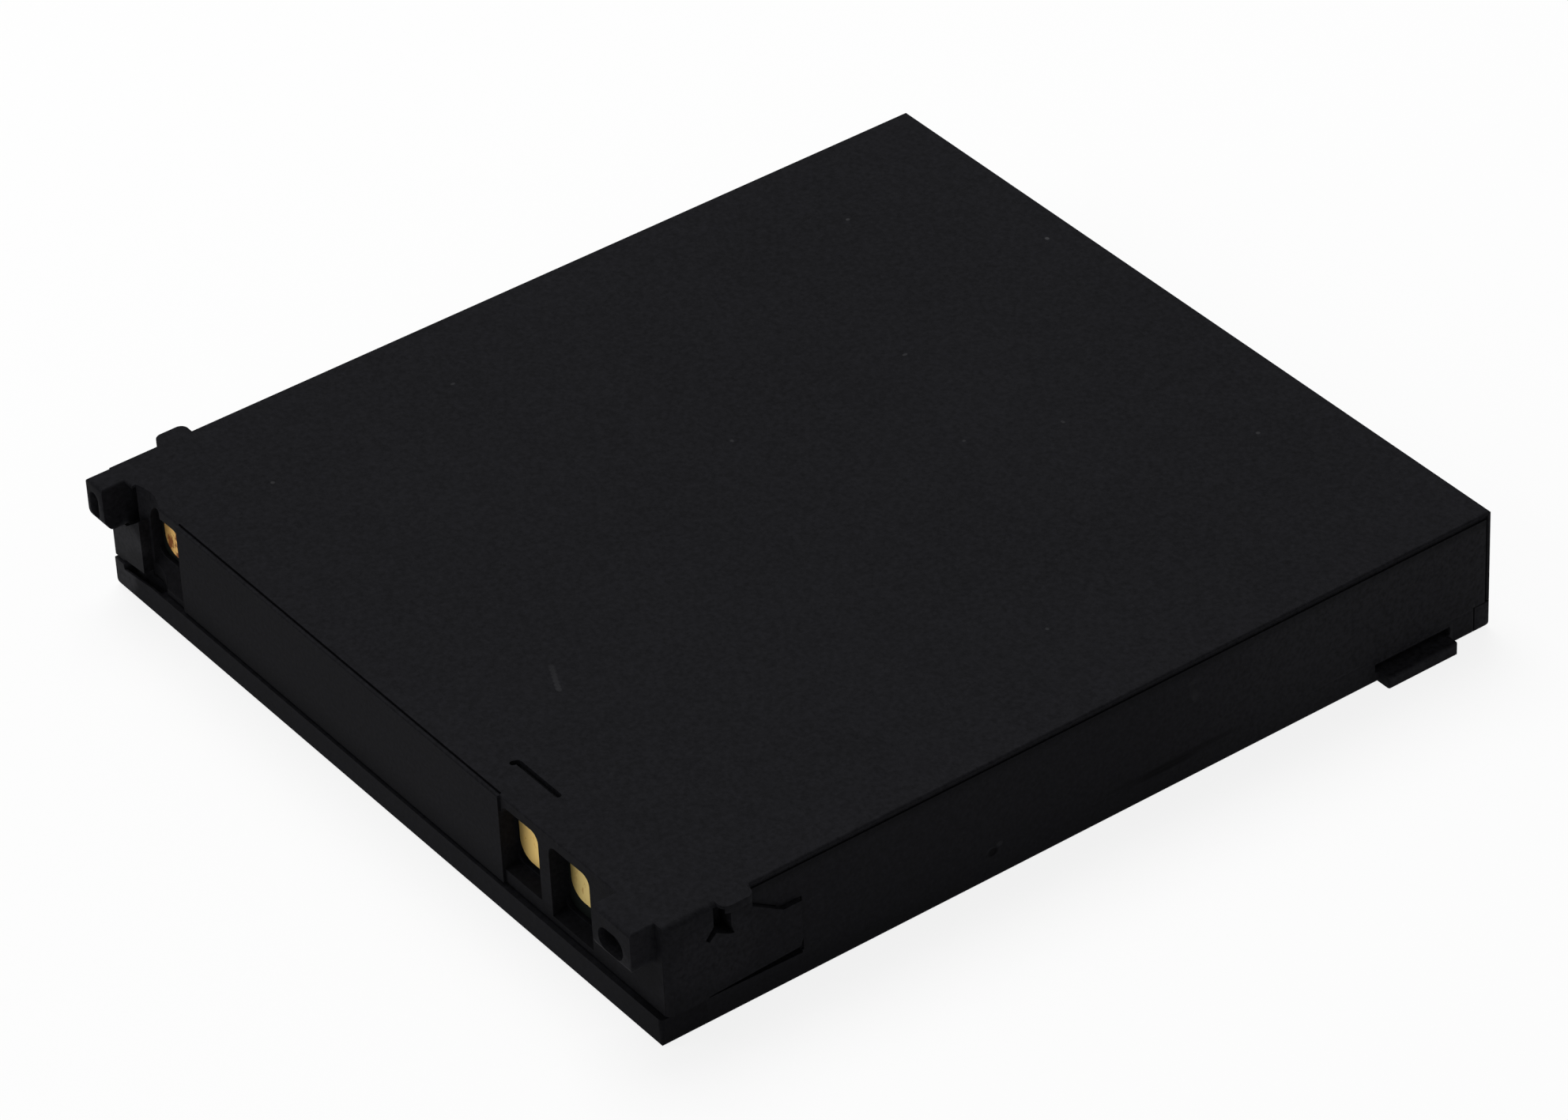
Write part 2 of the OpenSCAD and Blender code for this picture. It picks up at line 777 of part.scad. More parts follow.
module floor_tape() {
    color("#e9e4d4") from_corner()
        translate([cell_x + 4, cell_y + 4, floor_t])
            cube([cell_w - 8, cell_end - cell_y - 8, floor_tape_t]);
}

module tail_foam() {
    color("#3a3a3c") from_corner()
        translate([cell_x + 3, cell_end, rim_h + 0.3])
            cube([cell_w - 6, foam_t, cell_top - rim_h - 0.9]);
}

// Board and what is on it

module protection_board() {
    color("#1c211e") from_corner() along_y(board_y, board_t)
        soft_rect(board_x, board_z, board_x + board_w, board_top, [0.3, 0.3, 0.3, 0.3]);
}

// Moves a part onto the back of the board, facing the cell
module on_board(x, z) {
    translate([x, board_back, z]) rotate([-90, 0, 0]) children();
}

// Chip with a row of bent legs along both long sides
module chip(body_x, body_z, height, legs, pitch) {
    stand = 0.1;
    translate([-body_x / 2, -body_z / 2, stand]) cube([body_x, body_z, height - stand]);
    for (i = [0 : legs - 1], side = [-1, 1]) {
        translate([(i - (legs - 1) / 2) * pitch, 0, 0]) chip_leg(body_z / 2 * side, side, height);
    }
}

// Leg that leaves the body at half height and turns down to the board
module chip_leg(z0, side, height) {
    leg_w = 0.3;
    leg_t = 0.12;
    translate([-leg_w / 2, z0 + (side < 0 ? -0.25 : 0), height / 2]) cube([leg_w, 0.25, leg_t]);
    translate([-leg_w / 2, z0 + (side < 0 ? -0.25 : 0.13), 0]) cube([leg_w, leg_t, height / 2 + leg_t]);
    translate([-leg_w / 2, z0 + (side < 0 ? -0.5 : 0.13), 0]) cube([leg_w, 0.37, leg_t]);
}

module protection_chip() {
    color("#26262a") from_corner() on_board(rivet_x - 6.2, chip_z) chip(2.9, 1.5, 0.9, 3, 0.95);
}

module switch_chip() {
    color("#2a2a2e") from_corner() on_board(rivet_x - 1.6, chip_z) chip(3, 2.2, 0.85, 4, 0.65);
}

// Small two-ended chip part with raised end caps
module chip_part(length, width, height) {
    cap = length * 0.22;
    translate([0, 0, height / 2]) cube([length - 2 * cap, width * 0.94, height * 0.9], center = true);
    for (side = [-1, 1]) {
        translate([side * (length - cap) / 2, 0, height / 2]) cube([cap, width, height], center = true);
    }
}

module sense_thermistor() {
    color("#3b3a36") from_corner() on_board(window_xs[1] + window_w / 2, chip_z) chip_part(1.6, 0.8, 0.8);
}

module board_capacitors() {
    color("#a58a63") from_corner() {
        for (dz = [-1, 1]) {
            on_board(rivet_x - 3.92, chip_z + dz) chip_part(1, 0.5, 0.5);
        }
    }
}

module board_resistors() {
    color("#1d1d20") from_corner() {
        for (dz = [-1, 0, 1]) {
            on_board(rivet_x + 2.4, chip_z + dz) chip_part(1, 0.5, 0.35);
        }
    }
}

// Cut-out and nickel strips

// Strip drawn as X and Y, standing on its edge
module standing_strip() {
    translate([0, 0, strip_z]) linear_extrude(strip_h) children();
}

module strip_terminal() {
    color("#cfd2d6") from_corner() standing_strip()
        translate([rivet_x - head_l / 2, strip_y - strip_t])
            square([cutout_x + cutout_w - rivet_x + head_l / 2, strip_t]);
}

module thermal_cutout() {
    color("#4a6a48") from_corner()
        translate([cutout_x, cutout_front, strip_z - 0.1]) cube([cutout_w, cutout_t, strip_h + 0.2]);
}

module cutout_tape() {
    color("#e4d9a0") from_corner()
        translate([cutout_x, strip_y, strip_z])
            cube([cutout_w, cell_y - insulator_t - strip_y, strip_h]);
}

// Strip that runs flat, turns forward to the board and ends in a foot on it
module folded_strip(x0, y0, x1, foot) {
    translate([x0, y0]) square([x1 - x0, strip_t]);
    translate([x1 - strip_t, board_back]) square([strip_t, y0 + strip_t - board_back]);
    translate([x1 - foot, board_back]) square([foot, strip_t]);
}

module strip_cutout() {
    color("#cfd2d6") from_corner() standing_strip()
        folded_strip(cutout_x + 0.1, cutout_front - strip_t, cutout_x + cutout_w + strip_reach, 1.6);
}

module strip_positive() {
    color("#cfd2d6") from_corner() standing_strip()
        folded_strip(weld_x, cell_y - strip_t, weld_x + weld_w, 1.4);
}

upper_frame();
bottom_tray();
wrap_film();
contact_positive();
contact_thermistor();
contact_negative();
cell_can();
cell_lid();
fill_plug();
terminal_gasket();
terminal_rivet();
lid_insulator();
top_sheet();
floor_tape();
tail_foam();
protection_board();
protection_chip();
switch_chip();
sense_thermistor();
board_capacitors();
board_resistors();
thermal_cutout();
strip_positive();
strip_terminal();
strip_cutout();
cutout_tape();
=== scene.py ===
# %% [markdown]
# A clip-in battery pack for a mobile phone.
#
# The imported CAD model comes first. It gives every solid its true size and place.
# This script then gives the solids the finish, the soft edges and the small marks
# that make them look moulded, plated and used. A form that belongs to the pack is
# in the CAD model, so nothing here changes its size.

# %% Load the fixed frame
import math

import bmesh
import bpy
import numpy as np
from mathutils import Matrix, Vector


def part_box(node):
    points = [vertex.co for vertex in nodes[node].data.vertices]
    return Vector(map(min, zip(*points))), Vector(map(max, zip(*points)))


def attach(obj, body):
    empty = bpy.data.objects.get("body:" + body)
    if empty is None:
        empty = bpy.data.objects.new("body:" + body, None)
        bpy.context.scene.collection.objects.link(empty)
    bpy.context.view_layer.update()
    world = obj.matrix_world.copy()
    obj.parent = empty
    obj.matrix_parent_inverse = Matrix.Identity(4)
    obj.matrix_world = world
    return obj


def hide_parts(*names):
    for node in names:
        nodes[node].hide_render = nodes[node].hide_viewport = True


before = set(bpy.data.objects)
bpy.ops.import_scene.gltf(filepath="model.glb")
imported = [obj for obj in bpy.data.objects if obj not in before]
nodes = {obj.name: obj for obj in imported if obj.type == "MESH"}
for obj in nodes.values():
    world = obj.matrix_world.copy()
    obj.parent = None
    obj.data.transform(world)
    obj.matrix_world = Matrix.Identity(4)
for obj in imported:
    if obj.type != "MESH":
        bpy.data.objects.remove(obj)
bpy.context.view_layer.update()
MM = 0.001
print("CAD nodes:", len(nodes))

# %% [markdown]
# Places on the pack are written in millimetres, measured from its left front lower
# corner, because that is how a maker reads a drawing. The frame's own origin is the
# middle of the base, so one function moves a point across.

# %% The pack's own sizes
film_low, film_high = (np.array(c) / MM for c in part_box("wrap_film"))
tray_low, tray_high = (np.array(c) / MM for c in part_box("bottom_tray"))
CORNER = np.array([film_low[0], tray_low[1], 0.0])
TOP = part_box("upper_frame")[1][2] / MM
RIM = 1.3  # height of the tray's rim, where the frame stands on it


def place(point):
    """Point in millimetres from the corner, turned to metres in the frame."""
    return (np.asarray(point, float) + CORNER) * MM


print("width, mm:", round(film_high[0] - film_low[0], 2))
print("length, mm:", round(tray_high[1] - tray_low[1], 2))
print("thickness, mm:", round(TOP, 2))

# %% [markdown]
# The camera stands to the right of the contact end, well above the pack, and far
# away with a long lens, so parallel edges stay almost parallel. Its place and its
# three angles come from fitting the straight edges of the pack.

# %% Camera
IMAGE_W = 1984
FOCAL_PX = 9065.2
AZIMUTH, ELEVATION, ROLL = 55.020, 36.439, -2.949
CAMERA_AT = (0.190366, -0.133686, 0.173966)


def aim(azimuth, elevation, roll):
    """Turn of a camera that looks along azimuth (0 is +Y) and down by elevation."""
    turn = Matrix.Rotation(math.radians(azimuth), 4, "Z")
    turn @= Matrix.Rotation(math.radians(90 - elevation), 4, "X")
    return turn @ Matrix.Rotation(math.radians(roll), 4, "Z")


lens = bpy.data.cameras.new("camera")
lens.sensor_fit = "HORIZONTAL"
lens.sensor_width = 36
lens.lens = FOCAL_PX / IMAGE_W * lens.sensor_width
lens.clip_start, lens.clip_end = 0.01, 20
camera = bpy.data.objects.new("camera", lens)
bpy.context.scene.collection.objects.link(camera)
camera.matrix_world = Matrix.Translation(CAMERA_AT) @ aim(AZIMUTH, ELEVATION, ROLL)
bpy.context.scene.camera = camera
print("lens, mm:", round(lens.lens, 2))

# %% [markdown]
# Colours are written as the screen shows them, in hex, and shaders work in linear
# light, so one function turns one into the other. A second one adds a shader node
# with its settings and links, which keeps each material readable as a recipe.


# %% Colour and node helpers
def linear(colour):
    """sRGB hex to linear RGBA: below 0.04045 a straight line, above it a power."""
    parts = [int(colour[i : i + 2], 16) / 255 for i in (1, 3, 5)]
    curve = [c / 12.92 if c <= 0.04045 else ((c + 0.055) / 1.055) ** 2.4 for c in parts]
    return (*curve, 1.0)


def add(tree, kind, settings=None, **inputs):
    """Adds a node, sets its properties, and fills or links its inputs.

    An input goes by its name, with _ for a space, or by its number, such as _0.
    """
    node = tree.nodes.new(kind)
    for name, value in (settings or {}).items():
        setattr(node, name, value)
    for name, value in inputs.items():
        key = int(name[1:]) if name[0] == "_" else name.replace("_", " ")
        if isinstance(value, bpy.types.NodeSocket):
            tree.links.new(value, node.inputs[key])
        else:
            node.inputs[key].default_value = value
    return node


def new_material(name):
    """Empty node material, and its tree."""
    made = bpy.data.materials.new(name)
    made.use_nodes = True
    made.node_tree.nodes.clear()
    return made, made.node_tree


def finish_material(tree, surface):
    """Connects the last shader to the material's output."""
    add(tree, "ShaderNodeOutputMaterial", Surface=surface)


print("#808080 in linear light:", round(linear("#808080")[0], 3))

# %% [markdown]
# A small part like this is photographed on white paper. The floor is a large white
# sheet that bounces light back onto the upright sides. Brighter lamps could make it
# white, but they would bleach the pack as well. So the camera, gloss and clear parts
# see it nearly at full white, and a share of plain paper stays in it, which keeps
# the pack's soft shadow.

# %% White floor
FLOOR_SIZE = 6.0
FLOOR_DROP = 0.00002  # just under the base, so the two faces don't flicker
FLOOR_GLOW = 0.85  # share of plain white in what the camera sees


def paper_floor():
    """White paper, mixed with a plain white that only sight lines see."""
    made, tree = new_material("white_paper_matt")
    paper = add(tree, "ShaderNodeBsdfDiffuse", Color=linear("#f4f4f4"))
    glow = add(tree, "ShaderNodeEmission", Color=(1, 1, 1, 1), Strength=1.0)
    rays = add(tree, "ShaderNodeLightPath").outputs
    seen = rays["Is Camera Ray"]
    for kind in ("Is Transmission Ray", "Is Glossy Ray"):
        either = add(
            tree, "ShaderNodeMath", {"operation": "MAXIMUM"}, _0=seen, _1=rays[kind]
        )
        seen = either.outputs[0]
    share = add(
        tree, "ShaderNodeMath", {"operation": "MULTIPLY"}, _0=seen, _1=FLOOR_GLOW
    )
    mixed = add(
        tree,
        "ShaderNodeMixShader",
        Fac=share.outputs[0],
        _1=paper.outputs[0],
        _2=glow.outputs[0],
    )
    finish_material(tree, mixed.outputs[0])
    return made


half = FLOOR_SIZE / 2
floor_mesh = bpy.data.meshes.new("floor")
floor_mesh.from_pydata(
    [(-half, -half, 0), (half, -half, 0), (half, half, 0), (-half, half, 0)],
    [],
    [(0, 1, 2, 3)],
)
floor_mesh.materials.append(paper_floor())
floor = bpy.data.objects.new("floor", floor_mesh)
floor.location = (0, 0, -FLOOR_DROP)
bpy.context.scene.collection.objects.link(floor)
print("floor, m:", FLOOR_SIZE)

# %% [markdown]
# Black parts need wide, soft light, because a small lamp would leave one hard spot
# on them. A large soft box hangs above and behind the pack, and a weaker one faces
# the contact end, so the top is the palest side, the front comes next, and the long
# side is the darkest. A dim even world fills the shade between the lamps.

# %% World and lamps
WORLD_LIGHT = 0.3
LAMPS = {
    # name: place in metres, watts, width of its square
    "overhead_box": ((-0.25, 0.10, 0.50), 2.5, 0.40),
    "front_box": ((-0.25, -0.45, 0.30), 0.62, 0.30),
}
LAMP_TARGET = (0, 0, 0.002)


def lamp(name, at, watts, width):
    """Square soft box at a place, facing the pack."""
    light = bpy.data.lights.new(name, "AREA")
    light.energy, light.size = watts, width
    box = bpy.data.objects.new(name, light)
    bpy.context.scene.collection.objects.link(box)
    facing = (Vector(LAMP_TARGET) - Vector(at)).to_track_quat("-Z", "Y")
    box.matrix_world = Matrix.Translation(at) @ facing.to_matrix().to_4x4()


bpy.context.scene.view_settings.view_transform = "Standard"
world = bpy.data.worlds.new("studio")
world.use_nodes = True
world.node_tree.nodes.clear()
pale = add(
    world.node_tree, "ShaderNodeBackground", Color=(1, 1, 1, 1), Strength=WORLD_LIGHT
)
add(world.node_tree, "ShaderNodeOutputWorld", Surface=pale.outputs[0])
bpy.context.scene.world = world
for name, settings in LAMPS.items():
    lamp(name, *settings)
print("lamps:", list(LAMPS))

# %% [markdown]
# Moulded parts never have knife edges: the mould is rounded a little, and the
# plastic pulls back as it cools. A CAD solid comes in as loose triangles with sharp
# edges, which a Bevel modifier can't round. So a copy of its mesh is merged, its
# flat triangles are dissolved into whole faces, and the Bevel rounds what is left.
# The copy stands for the CAD node, which stays hidden for the physics.

# %% Soft-edged copies of the solids
MERGE_DISTANCE = 2e-7
FLAT_ANGLE = 0.6  # degrees; neighbours flatter than this are one face
EDGE_ANGLE = 32  # degrees; a sharper edge is rounded
EDGE_STEPS = 2
FACE_WEIGHT = 80  # how far a large face rules the shading at its rim


def softened(node, name, material, radius):
    """Copy of a CAD node, merged and dissolved, with edges rounded by radius, mm."""
    mesh = bpy.data.meshes.new(name)
    work = bmesh.new()
    work.from_mesh(nodes[node].data)
    bmesh.ops.remove_doubles(work, verts=work.verts, dist=MERGE_DISTANCE)
    bmesh.ops.dissolve_limit(
        work,
        angle_limit=math.radians(FLAT_ANGLE),
        verts=work.verts,
        edges=work.edges,
    )
    work.to_mesh(mesh)
    work.free()
    mesh.materials.clear()
    mesh.materials.append(material)
    mesh.shade_smooth()
    piece = bpy.data.objects.new(name, mesh)
    bpy.context.scene.collection.objects.link(piece)
    bevel = piece.modifiers.new("soft_edges", "BEVEL")
    bevel.width, bevel.segments = radius * MM, EDGE_STEPS
    bevel.limit_method, bevel.angle_limit = "ANGLE", math.radians(EDGE_ANGLE)
    bevel.use_clamp_overlap = True
    bevel.harden_normals = False
    even = piece.modifiers.new("flat_faces_stay_flat", "WEIGHTED_NORMAL")
    even.weight, even.keep_sharp = FACE_WEIGHT, True
    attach(piece, "root")
    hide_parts(node)
    print(name, "faces:", len(mesh.polygons))


print("loose triangles in the frame:", len(nodes["upper_frame"].data.polygons))

# %% [markdown]
# Signs of use, and some painted light and painted shade, go over a plastic as soft
# patches, each with its own place and size on the pack. A painted image could do the
# same, but it needs an unwrapped mesh and a file. A patch is only a distance from a
# point, so it stays sharp at any zoom and can be moved by its numbers.


# %% Patches on the surface
def per_metre(size):
    """Noise scale that gives features of that size, in millimetres."""
    return 1 / (size * MM)


def patch(tree, spot, centre, half_widths, edge, strength):
    """Soft-edged ellipsoid: 'strength' within its half-widths, 0 at 'edge' times them.

    The distance from the centre is divided by the half-width along each axis. Its
    length is 1 on the ellipsoid, and the strength falls smoothly from there to edge.
    """
    offset = add(
        tree,
        "ShaderNodeVectorMath",
        {"operation": "SUBTRACT"},
        _0=spot,
        _1=tuple(place(centre)),
    )
    scaled = add(
        tree,
        "ShaderNodeVectorMath",
        {"operation": "MULTIPLY"},
        _0=offset.outputs[0],
        _1=tuple(per_metre(half_width) for half_width in half_widths),
    )
    reach = add(
        tree, "ShaderNodeVectorMath", {"operation": "LENGTH"}, _0=scaled.outputs[0]
    )
    return add(
        tree,
        "ShaderNodeMapRange",
        {"interpolation_type": "SMOOTHSTEP"},
        Value=reach.outputs["Value"],
        From_Min=1.0,
        From_Max=edge,
        To_Min=strength,
        To_Max=0.0,
    ).outputs[0]


def strongest(tree, spot, marks):
    """One mask that follows the strongest of several patches at each point."""
    top, *others = [patch(tree, spot, *mark) for mark in marks]
    for mask in others:
        pair = add(tree, "ShaderNodeMath", {"operation": "MAXIMUM"}, _0=top, _1=mask)
        top = pair.outputs[0]
    return top


def tinted_towards(tree, shade, mask, colour):
    """The shade, turned towards a colour where the mask is strong: grain, wear, dust
    and grime, and also painted light and painted shade.
    """
    return add(
        tree,
        "ShaderNodeMix",
        {"data_type": "RGBA"},
        _0=mask,
        _6=shade,
        _7=linear(colour),
    ).outputs[2]


print("a 2 mm patch has scale", per_metre(2.0))

# %% [markdown]
# Black ABS from a spark-eroded mould: the steel is pitted evenly, and the plastic
# takes over its fine grain, which breaks up every highlight, so the black looks
# dry. The real grain is about 0.03 mm, too fine to show, so it is drawn at 0.2 mm.
# A second, larger pattern gives the faint cloudiness of handled plastic. Corners
# that rub in the phone's bay are paler and a little glossier, and the same paler
# colour is also laid as painted light on some faces. Dust and scratches are paler
# still. A nearly black colour is grime in the seams, and it is also laid as painted
# shade low on the walls, under the frame's lip and in creases.

# %% Grain of matt black plastic
GRAIN, CLOUD = 0.2, 7.0
CLOUD_SHARE = 0.12
TINT_SPREAD = 0.26  # of the noise on each side of its middle


def grain_and_tint(tree, spot, colour, paler):
    """Fine grain, and a shade that wanders between two colours with it."""
    fine = add(
        tree,
        "ShaderNodeTexNoise",
        Vector=spot,
        Scale=per_metre(GRAIN),
        Detail=3.0,
        Roughness=0.6,
    ).outputs["Fac"]
    cloud = add(
        tree,
        "ShaderNodeTexNoise",
        Vector=spot,
        Scale=per_metre(CLOUD),
        Detail=2.0,
        Roughness=0.5,
    ).outputs["Fac"]
    both = add(
        tree,
        "ShaderNodeMix",
        {"data_type": "FLOAT"},
        Factor=CLOUD_SHARE,
        A=fine,
        B=cloud,
    ).outputs[0]
    tint = add(
        tree,
        "ShaderNodeMapRange",
        Value=both,
        From_Min=0.5 - TINT_SPREAD,
        From_Max=0.5 + TINT_SPREAD,
    ).outputs[0]
    return fine, tinted_towards(tree, linear(colour), tint, paler)


print("grain scale:", per_metre(GRAIN), "cloud scale:", round(per_metre(CLOUD), 1))

# %% [markdown]
# The plastic's recipe lays one thing over another in the order in which the real
# ones came: first the moulded grain, then the rubs, then dust, then grime. Painted
# light goes on with the rubs, and painted shade with the grime. The same grain
# drives the colour, the roughness and the bump, as it does in the mould.

# %% Recipe for matt black plastic
# The paler colour serves for rubs and for painted light, the nearly black one for grime
# and for painted shade.
RUBBED_AND_LIT, DUST, GRIME_AND_SHADE = "#2b2b2e", "#6a6a6c", "#050506"
RUB_GLOSS = 0.18  # roughness that a rubbed corner loses
ROUGH_SPREAD = 0.08
DENT_DEPTH = 0.05
DRY_GLOSS = 0.03  # grain scatters nearly all that a smooth black would mirror


def grained_plastic(
    name, colour, paler, rough, depth, rubs_and_light, dusty=(), dents=(), grimed_and_shaded=()
):
    """Matt plastic: grain, then rubs and painted light, dust, then grime and painted
    shade over its colour, and dents.
    """
    made, tree = new_material(name)
    spot = add(tree, "ShaderNodeTexCoord").outputs["Object"]
    fine, shade = grain_and_tint(tree, spot, colour, paler)

    # A rub, and the painted light laid with it, touches the high spots of the grain
    # first.
    worn = strongest(tree, spot, rubs_and_light)
    high = add(tree, "ShaderNodeMapRange", Value=fine, From_Min=0.25, From_Max=0.6)
    broken = add(
        tree, "ShaderNodeMath", {"operation": "MULTIPLY"}, _0=worn, _1=high.outputs[0]
    )
    shade = tinted_towards(tree, shade, broken.outputs[0], RUBBED_AND_LIT)
    if dusty:
        shade = tinted_towards(tree, shade, strongest(tree, spot, dusty), DUST)
    if grimed_and_shaded:
        shade = tinted_towards(tree, shade, strongest(tree, spot, grimed_and_shaded), GRIME_AND_SHADE)

    dull = add(
        tree,
        "ShaderNodeMapRange",
        Value=fine,
        To_Min=rough - ROUGH_SPREAD,
        To_Max=rough + ROUGH_SPREAD,
    )
    polish = add(
        tree, "ShaderNodeMath", {"operation": "MULTIPLY"}, _0=worn, _1=RUB_GLOSS
    )
    dull = add(
        tree,
        "ShaderNodeMath",
        {"operation": "SUBTRACT", "use_clamp": True},
        _0=dull.outputs[0],
        _1=polish.outputs[0],
    )
    relief = add(
        tree,
        "ShaderNodeBump",
        Strength=0.6,
        Distance=depth * MM,
        Height=fine,
    )
    if dents:
        relief = add(
            tree,
            "ShaderNodeBump",
            {"invert": True},
            Strength=0.9,
            Distance=DENT_DEPTH * MM,
            Height=strongest(tree, spot, dents),
            Normal=relief.outputs[0],
        )
    shader = add(
        tree,
        "ShaderNodeBsdfPrincipled",
        Base_Color=shade,
        Roughness=dull.outputs[0],
        Normal=relief.outputs[0],
        Specular_IOR_Level=DRY_GLOSS,
    )
    finish_material(tree, shader.outputs[0])
    return made


print("dry black next to a rubbed one:", linear("#1e1e21")[0], linear(RUBBED_AND_LIT)[0])

# %% [markdown]
# The upper frame is the large moulding with the top plate and the contact wall. Its
# corner post and its ears touch the bay first, so they are rubbed; on the post the
# paler colour is also painted light. Ten grains of dust and one short scratch sit on
# the top. Painted shade darkens the contact wall low down, round the foot of the
# post and by the right ear, and the parting line at the tail corner is dark with
# grime and painted shade.

# %% The upper frame
# Each mark is: centre, half-widths, how far its soft edge reaches, strength.
FRAME_RUBS_AND_LIGHT = [
    # The corner post's mark is partly a rub and partly painted light.
    ((1.1, 0.1, 2.2), (1.2, 0.6, 1.3), 1.4, 0.75),  # corner post
    ((0.3, -0.9, 4.0), (0.8, 0.3, 0.9), 1.5, 0.35),  # left ear
    ((36.6, -0.9, 3.9), (0.9, 0.3, 0.8), 1.5, 0.3),  # right ear
    ((38.3, 2.6, 3.4), (0.5, 1.6, 1.2), 1.5, 0.15),  # side wing
]
FRAME_DUST = [
    ((11.59, 39.54, TOP), (0.07, 0.06, 0.3), 1.9, 0.24),
    ((5.03, 34.01, TOP), (0.06, 0.06, 0.3), 1.9, 0.16),
    ((14.50, 29.78, TOP), (0.05, 0.08, 0.3), 1.9, 0.13),
    ((22.41, 31.78, TOP), (0.07, 0.05, 0.3), 1.9, 0.1),
    ((28.07, 37.32, TOP), (0.06, 0.06, 0.3), 1.9, 0.14),
    ((32.89, 22.65, TOP), (0.06, 0.05, 0.3), 1.9, 0.1),
    ((5.20, 4.76, TOP), (0.06, 0.06, 0.3), 1.9, 0.13),
    ((4.19, 14.29, TOP), (0.05, 0.07, 0.3), 1.9, 0.1),
    ((14.82, 20.70, TOP), (0.06, 0.05, 0.3), 1.9, 0.1),
    ((20.87, 27.90, TOP), (0.05, 0.05, 0.3), 1.9, 0.1),
]
# The scratch is a row of seven small patches, a little stronger at its far end.
SCRATCH_ENDS = (22.45, 6.36, 0.04), (23.80, 5.74, 0.08)
SCRATCH = [
    ((x, y, TOP), (0.11, 0.07, 0.3), 2.0, strength)
    for x, y, strength in np.linspace(*SCRATCH_ENDS, 7).tolist()
]
# The parting line's dark mark is partly grime and partly painted shade in the gap.
PARTING_LINE = ((38.3, 41.0, RIM), (1.0, 0.75, 0.05), 1.8, 0.9)
FRAME_SHADE_AND_GRIME = [
    PARTING_LINE,
    # The next four marks are painted shade.
    ((0.5, 0.0, 1.45), (0.9, 0.6, 0.22), 1.9, 0.5),  # foot of the post
    ((2.1, 0.0, 1.75), (0.8, 0.6, 0.6), 1.9, 0.45),  # beside the post
    ((19.0, 0.0, 1.3), (30.0, 0.3, 0.3), 5.0, 0.32),  # low on the contact wall
    ((36.8, 0.0, 2.9), (0.8, 0.4, 0.6), 2.0, 0.35),  # wall by the right ear
]
frame_abs = grained_plastic(
    "black_abs_spark_eroded",
    colour="#0f0f11",
    paler="#1e1e21",
    rough=0.75,
    depth=0.012,
    rubs_and_light=FRAME_RUBS_AND_LIGHT,
    dusty=FRAME_DUST + SCRATCH,
    grimed_and_shaded=FRAME_SHADE_AND_GRIME,
)
softened("upper_frame", "frame_moulding", frame_abs, 0.04)

# %% [markdown]
# The tray is the floor of the pack, with its low rim and the latch tab. It is the
# same plastic from the same kind of mould. Its corners and its tab slide along the
# bay, so the rubs there are stronger. On the left corner and the tab the paler
# colour is also painted light, and along the tab's upper edge it is a painted
# highlight. The tray darkens towards the near corner with painted shade.

# %% The bottom tray
TRAY_RUBS_AND_LIGHT = [
    # The left corner's mark is partly a rub and partly painted light.
    ((0.3, 0.1, 0.9), (1.0, 0.7, 0.7), 1.6, 0.8),  # left corner
    ((38.2, 41.2, 0.9), (0.8, 1.4, 1.2), 1.6, 0.55),  # tail corner
    # The tab's mark is painted light, and its upper edge a painted highlight.
    ((39.2, 37.0, 0.5), (1.3, 4.5, 0.9), 1.4, 0.5),  # latch tab
    ((39.7, 37.6, 0.78), (0.35, 2.6, 0.16), 1.7, 0.9),  # the tab's upper edge
]
# Painted shade: the tray grows darker towards the near corner.
NEAR_CORNER_SHADE = ((38.6, -0.4, 0.5), (1.2, 2.0, 1.4), 4.0, 0.3)
tray_abs = grained_plastic(
    "black_abs_tray_moulded",
    colour="#0f0f11",
    paler="#1e1e21",
    rough=0.75,
    depth=0.012,
    rubs_and_light=TRAY_RUBS_AND_LIGHT,
    grimed_and_shaded=[PARTING_LINE, NEAR_CORNER_SHADE],
)
softened("bottom_tray", "tray_moulding", tray_abs, 0.04)

# %% [markdown]
# A thin black polyester film wraps the base and both long sides. It is smoother than
# the mouldings and takes marks easily: a press mark, a pit, and a few flecks of
# dust. Its tail end is paler with painted light. Painted shade darkens the press
# mark and the pit, the film below the lip of the frame, and the foot of the near
# end. The press marks are shallower than the film is thick, so a bump is enough
# for them.

# %% The side film
FILM_PAINTED_LIGHT = [
    # Painted light: the film grows paler towards the tail.
    ((38.3, 41.5, 3.0), (1.2, 9.0, 5.0), 2.2, 0.36),  # tail end
]
FILM_DUST = [
    ((38.1, 16.09, 1.58), (0.3, 0.09, 0.07), 2.2, 0.06),
    ((38.1, 25.79, 3.96), (0.3, 0.11, 0.16), 2.4, 0.03),
    ((38.1, 25.71, 4.65), (0.3, 0.14, 0.07), 2.4, 0.025),
]
FILM_PAINTED_SHADE = [
    # All of these marks are painted shade; the dark rub is the shade of the crease
    # along the press mark.
    ((38.1, 20.5, 5.45), (1.0, 34.0, 0.12), 5.0, 0.36),  # upper edge
    ((38.1, 4.0, 0.4), (1.0, 6.0, 0.4), 2.0, 0.2),  # foot of the near end
    ((38.1, 24.35, 1.20), (0.6, 0.9, 0.10), 2.6, 0.8),  # middle of the dark rub
    ((38.1, 25.9, 1.30), (0.6, 1.1, 0.09), 2.6, 0.5),  # its tail end
    ((38.1, 22.7, 1.26), (0.6, 0.7, 0.09), 2.6, 0.35),  # its near end
    ((38.1, 15.76, 1.33), (0.6, 0.14, 0.11), 2.2, 0.8),  # pit
]
